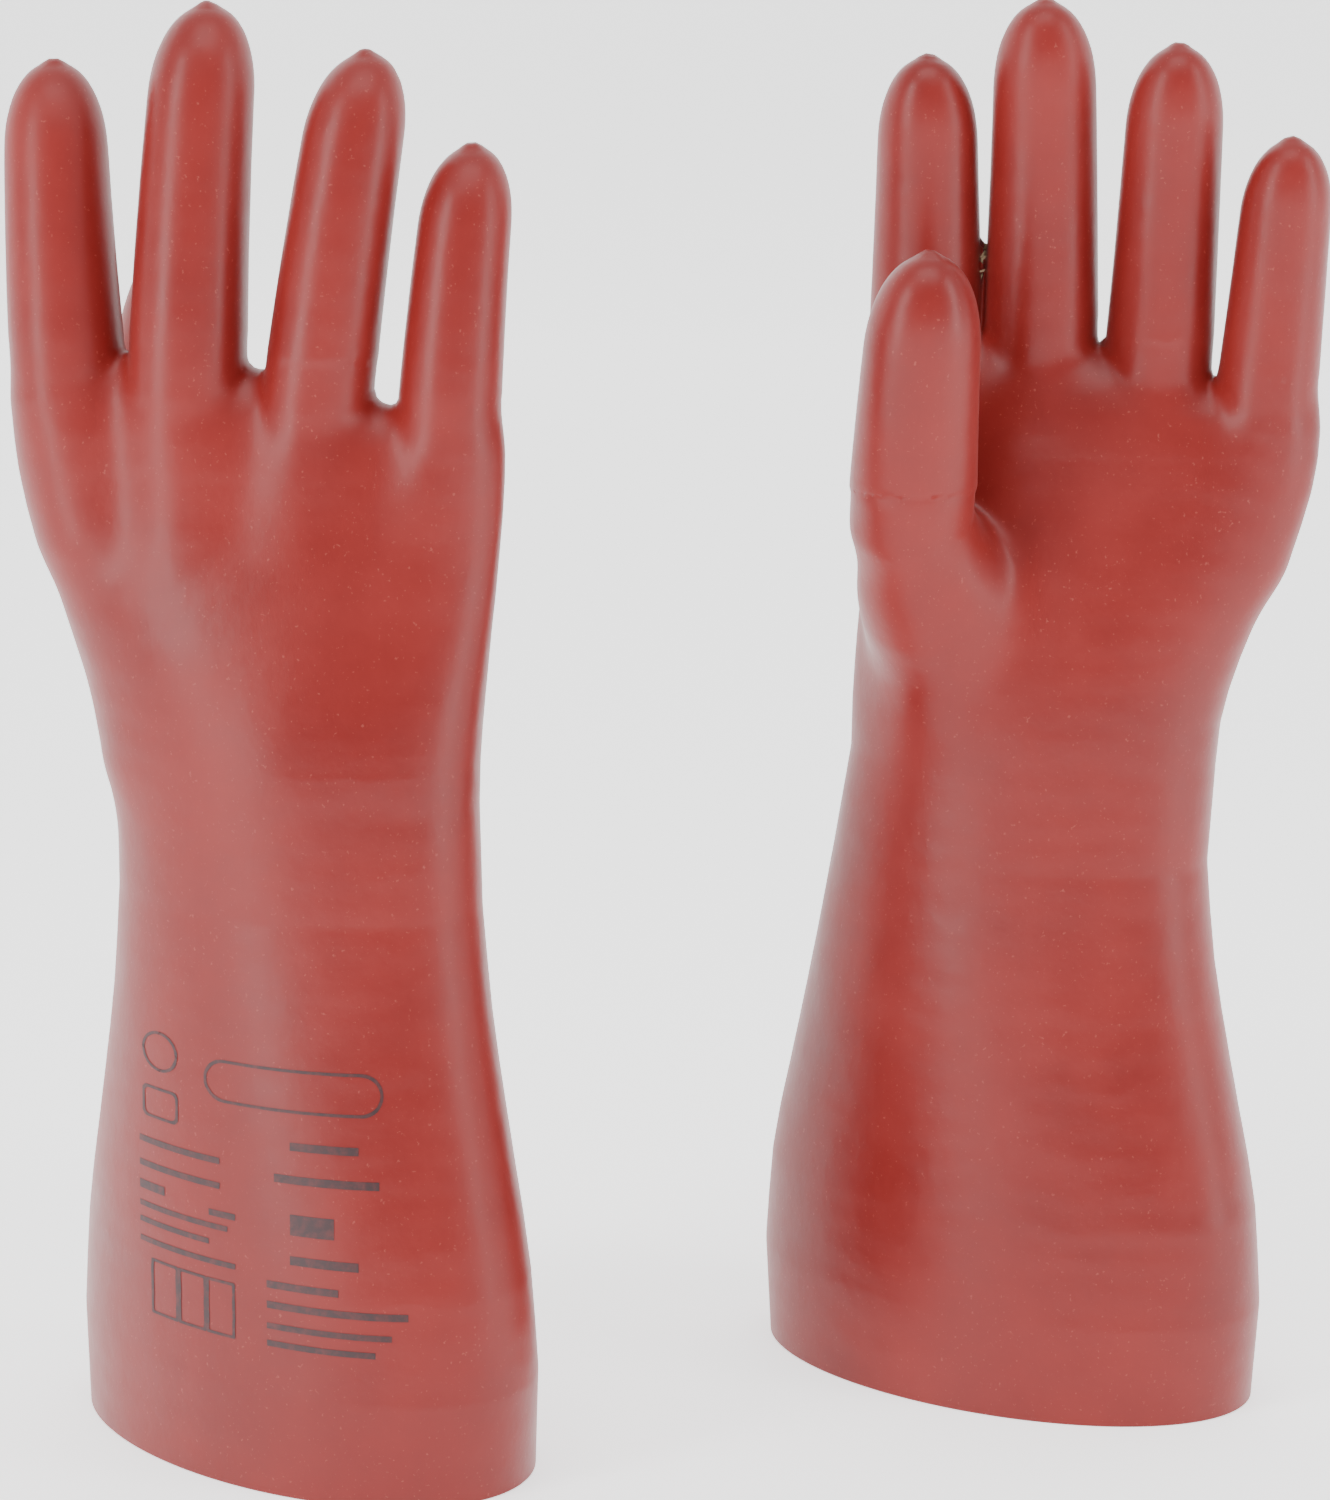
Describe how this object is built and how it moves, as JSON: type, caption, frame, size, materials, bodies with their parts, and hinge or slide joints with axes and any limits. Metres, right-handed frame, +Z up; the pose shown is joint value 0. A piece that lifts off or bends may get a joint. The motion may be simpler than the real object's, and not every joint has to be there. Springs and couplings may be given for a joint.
{
  "type": "electrical insulating gloves",
  "caption": "Pair of long dipped-rubber insulating gauntlet gloves with bonded latex lining, standing on their cuffs, with bending wrists, fingers and thumbs.",
  "frame": {"origin": "middle of the pair's footprint, on the surface the cuffs stand on", "axes": "+Z up along the gloves, from cuff to fingertips; +X from the right-hand glove to the left-hand glove; -Y towards the viewer, who sees the back of the right-hand glove and the palm of the left-hand glove"},
  "size_m": [0.3258, 0.1585, 0.3573],
  "materials": {
    "outer_rubber": "satin red dipped rubber",
    "latex_lining": "matt natural latex, lightly powdered"
  },
  "bodies": {
    "right_gauntlet": {"right_gauntlet": "outer_rubber", "right_gauntlet_lining": "latex_lining"},
    "right_hand": {"right_hand": "outer_rubber", "right_hand_lining": "latex_lining"},
    "right_index_base": {"right_index_base": "outer_rubber", "right_index_base_lining": "latex_lining"},
    "right_index_tip": {"right_index_tip": "outer_rubber", "right_index_tip_lining": "latex_lining"},
    "right_middle_base": {"right_middle_base": "outer_rubber", "right_middle_base_lining": "latex_lining"},
    "right_middle_tip": {"right_middle_tip": "outer_rubber", "right_middle_tip_lining": "latex_lining"},
    "right_ring_base": {"right_ring_base": "outer_rubber", "right_ring_base_lining": "latex_lining"},
    "right_ring_tip": {"right_ring_tip": "outer_rubber", "right_ring_tip_lining": "latex_lining"},
    "right_little_base": {"right_little_base": "outer_rubber", "right_little_base_lining": "latex_lining"},
    "right_little_tip": {"right_little_tip": "outer_rubber", "right_little_tip_lining": "latex_lining"},
    "right_thumb_base": {"right_thumb_base": "outer_rubber", "right_thumb_base_lining": "latex_lining"},
    "right_thumb_tip": {"right_thumb_tip": "outer_rubber", "right_thumb_tip_lining": "latex_lining"},
    "left_gauntlet": {"left_gauntlet": "outer_rubber", "left_gauntlet_lining": "latex_lining"},
    "left_hand": {"left_hand": "outer_rubber", "left_hand_lining": "latex_lining"},
    "left_index_base": {"left_index_base": "outer_rubber", "left_index_base_lining": "latex_lining"},
    "left_index_tip": {"left_index_tip": "outer_rubber", "left_index_tip_lining": "latex_lining"},
    "left_middle_base": {"left_middle_base": "outer_rubber", "left_middle_base_lining": "latex_lining"},
    "left_middle_tip": {"left_middle_tip": "outer_rubber", "left_middle_tip_lining": "latex_lining"},
    "left_ring_base": {"left_ring_base": "outer_rubber", "left_ring_base_lining": "latex_lining"},
    "left_ring_tip": {"left_ring_tip": "outer_rubber", "left_ring_tip_lining": "latex_lining"},
    "left_little_base": {"left_little_base": "outer_rubber", "left_little_base_lining": "latex_lining"},
    "left_little_tip": {"left_little_tip": "outer_rubber", "left_little_tip_lining": "latex_lining"},
    "left_thumb_base": {"left_thumb_base": "outer_rubber", "left_thumb_base_lining": "latex_lining"},
    "left_thumb_tip": {"left_thumb_tip": "outer_rubber", "left_thumb_tip_lining": "latex_lining"}
  },
  "joints": [
    {"name": "left_glove_lift", "type": "slide", "parent": "right_gauntlet", "child": "left_gauntlet", "axis": [0, 0, 1], "range_m": [0, 0.4]},
    {"name": "right_wrist_bend", "type": "hinge", "parent": "right_gauntlet", "child": "right_hand", "pos_m": [-0.08629, 0.00801, 0.166], "axis": [-0.9781, 0.2079, 0], "range_deg": [0, 30], "stiffness_Nm_per_rad": 1.5},
    {"name": "right_index_knuckle", "type": "hinge", "parent": "right_hand", "child": "right_index_base", "pos_m": [-0.14559, 0.00385, 0.27503], "axis": [-0.9772, 0.2034, -0.0609], "range_deg": [0, 34], "stiffness_Nm_per_rad": 0.05},
    {"name": "right_index_bend", "type": "hinge", "parent": "right_index_base", "child": "right_index_tip", "pos_m": [-0.14722, 0.00538, 0.30624], "axis": [-0.9772, 0.2034, -0.0609], "range_deg": [0, 44], "stiffness_Nm_per_rad": 0.05},
    {"name": "right_middle_knuckle", "type": "hinge", "parent": "right_hand", "child": "right_middle_base", "pos_m": [-0.11457, -0.0045, 0.27701], "axis": [-0.9766, 0.2107, 0.0435], "range_deg": [0, 48], "stiffness_Nm_per_rad": 0.05},
    {"name": "right_middle_bend", "type": "hinge", "parent": "right_middle_base", "child": "right_middle_tip", "pos_m": [-0.11266, -0.00329, 0.31385], "axis": [-0.9766, 0.2107, 0.0435], "range_deg": [0, 58], "stiffness_Nm_per_rad": 0.05},
    {"name": "right_ring_knuckle", "type": "hinge", "parent": "right_hand", "child": "right_ring_base", "pos_m": [-0.08193, -0.01129, 0.27207], "axis": [-0.9679, 0.215, 0.1302], "range_deg": [0, 60], "stiffness_Nm_per_rad": 0.05},
    {"name": "right_ring_bend", "type": "hinge", "parent": "right_ring_base", "child": "right_ring_tip", "pos_m": [-0.07725, -0.01081, 0.30607], "axis": [-0.9679, 0.215, 0.1302], "range_deg": [0, 70], "stiffness_Nm_per_rad": 0.05},
    {"name": "right_little_knuckle", "type": "hinge", "parent": "right_hand", "child": "right_little_base", "pos_m": [-0.051, -0.01581, 0.26414], "axis": [-0.9748, 0.2122, 0.0696], "range_deg": [0, 70], "stiffness_Nm_per_rad": 0.05},
    {"name": "right_little_bend", "type": "hinge", "parent": "right_little_base", "child": "right_little_tip", "pos_m": [-0.04891, -0.01523, 0.29156], "axis": [-0.9748, 0.2122, 0.0696], "range_deg": [0, 75], "stiffness_Nm_per_rad": 0.05},
    {"name": "right_thumb_knuckle", "type": "hinge", "parent": "right_hand", "child": "right_thumb_base", "pos_m": [-0.14474, 0.03073, 0.23758], "axis": [-0.5155, -0.7954, 0.3188], "range_deg": [0, 40], "stiffness_Nm_per_rad": 0.05},
    {"name": "right_thumb_bend", "type": "hinge", "parent": "right_thumb_base", "child": "right_thumb_tip", "pos_m": [-0.11681, 0.02101, 0.26619], "axis": [0.6648, 0.7085, -0.2366], "range_deg": [0, 20], "stiffness_Nm_per_rad": 0.05},
    {"name": "left_wrist_bend", "type": "hinge", "parent": "left_gauntlet", "child": "left_hand", "pos_m": [0.08684, -0.00373, 0.166], "axis": [0.9781, -0.2079, 0], "range_deg": [0, 30], "stiffness_Nm_per_rad": 1.5},
    {"name": "left_index_knuckle", "type": "hinge", "parent": "left_hand", "child": "left_index_base", "pos_m": [0.06154, 0.01798, 0.27503], "axis": [0.9783, -0.2067, -0.0174], "range_deg": [0, 34], "stiffness_Nm_per_rad": 0.05},
    {"name": "left_index_bend", "type": "hinge", "parent": "left_index_base", "child": "left_index_tip", "pos_m": [0.06183, 0.01672, 0.3063], "axis": [0.9783, -0.2067, -0.0174], "range_deg": [0, 44], "stiffness_Nm_per_rad": 0.05},
    {"name": "left_middle_knuckle", "type": "hinge", "parent": "left_hand", "child": "left_middle_base", "pos_m": [0.09079, 0.01351, 0.27701], "axis": [0.9782, -0.2073, -0.0087], "range_deg": [0, 48], "stiffness_Nm_per_rad": 0.05},
    {"name": "left_middle_bend", "type": "hinge", "parent": "left_middle_base", "child": "left_middle_tip", "pos_m": [0.09078, 0.01189, 0.31389], "axis": [0.9782, -0.2073, -0.0087], "range_deg": [0, 58], "stiffness_Nm_per_rad": 0.05},
    {"name": "left_ring_knuckle", "type": "hinge", "parent": "left_hand", "child": "left_ring_base", "pos_m": [0.12029, 0.00709, 0.27207], "axis": [0.9776, -0.2041, -0.0522], "range_deg": [0, 60], "stiffness_Nm_per_rad": 0.05},
    {"name": "left_ring_bend", "type": "hinge", "parent": "left_ring_base", "child": "left_ring_tip", "pos_m": [0.12174, 0.00529, 0.30631], "axis": [0.9776, -0.2041, -0.0522], "range_deg": [0, 70], "stiffness_Nm_per_rad": 0.05},
    {"name": "left_little_knuckle", "type": "hinge", "parent": "left_hand", "child": "left_little_base", "pos_m": [0.14697, -0.00063, 0.26414], "axis": [0.9763, -0.2019, -0.0783], "range_deg": [0, 70], "stiffness_Nm_per_rad": 0.05},
    {"name": "left_little_bend", "type": "hinge", "parent": "left_little_base", "child": "left_little_tip", "pos_m": [0.14887, -0.00206, 0.29154], "axis": [0.9763, -0.2019, -0.0783], "range_deg": [0, 75], "stiffness_Nm_per_rad": 0.05},
    {"name": "left_thumb_knuckle", "type": "hinge", "parent": "left_hand", "child": "left_thumb_base", "pos_m": [0.04453, -0.00548, 0.23758], "axis": [0.1474, -0.9363, -0.3188], "range_deg": [0, 40], "stiffness_Nm_per_rad": 0.05},
    {"name": "left_thumb_bend", "type": "hinge", "parent": "left_thumb_base", "child": "left_thumb_tip", "pos_m": [0.07401, -0.00795, 0.26619], "axis": [-0.3192, 0.9177, 0.2366], "range_deg": [0, 20], "stiffness_Nm_per_rad": 0.05}
  ]
}
